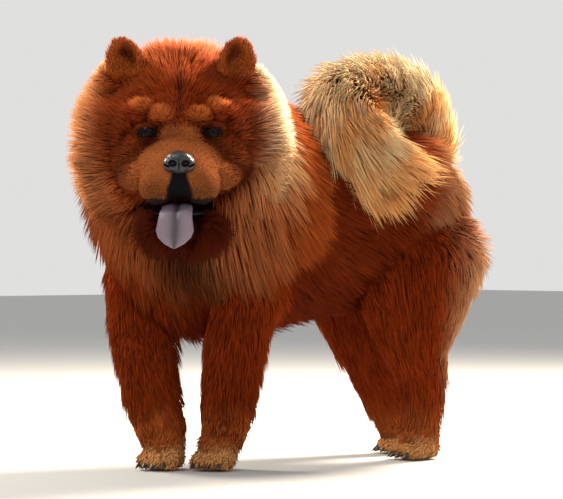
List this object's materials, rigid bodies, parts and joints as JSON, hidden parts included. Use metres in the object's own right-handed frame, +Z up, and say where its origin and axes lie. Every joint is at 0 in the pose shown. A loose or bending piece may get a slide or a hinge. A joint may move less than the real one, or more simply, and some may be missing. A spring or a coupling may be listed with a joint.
{
  "type": "chow chow",
  "caption": "Life-size still model of a rough-coated red chow chow, standing with its head turned and its plumed tail curled over its back.",
  "frame": {"origin": "the floor under the middle of the model's box", "axes": "+X the way the body faces, +Y the dog's left, +Z up"},
  "size_m": [0.7404, 0.4158, 0.6062],
  "materials": {
    "coat": "dense red coat with paler tips",
    "nose": "moist black nose leather",
    "lip": "black lips and jaw edge",
    "tongue": "moist blue-black tongue",
    "eye": "wet dark brown",
    "claw": "dark horn"
  },
  "bodies": {
    "root": {"claw_fore_left_1": "claw", "claw_fore_left_2": "claw", "claw_fore_left_3": "claw", "claw_fore_left_4": "claw", "claw_fore_right_1": "claw", "claw_fore_right_2": "claw", "claw_fore_right_3": "claw", "claw_fore_right_4": "claw", "claw_hind_left_1": "claw", "claw_hind_left_2": "claw", "claw_hind_left_3": "claw", "claw_hind_left_4": "claw", "claw_hind_right_1": "claw", "claw_hind_right_2": "claw", "claw_hind_right_3": "claw", "claw_hind_right_4": "claw", "ear_left": "coat", "ear_right": "coat", "eye_left": "eye", "eye_right": "eye", "head": "coat", "leg_fore_left": "coat", "leg_fore_right": "coat", "leg_hind_left": "coat", "leg_hind_right": "coat", "lower_jaw": "lip", "neck": "coat", "nose": "nose", "paw_fore_left": "coat", "paw_fore_right": "coat", "paw_hind_left": "coat", "paw_hind_right": "coat", "tail_base": "coat", "tail_curl": "coat", "tail_end": "coat", "tongue": "tongue", "torso": "coat"}
  },
  "joints": []
}
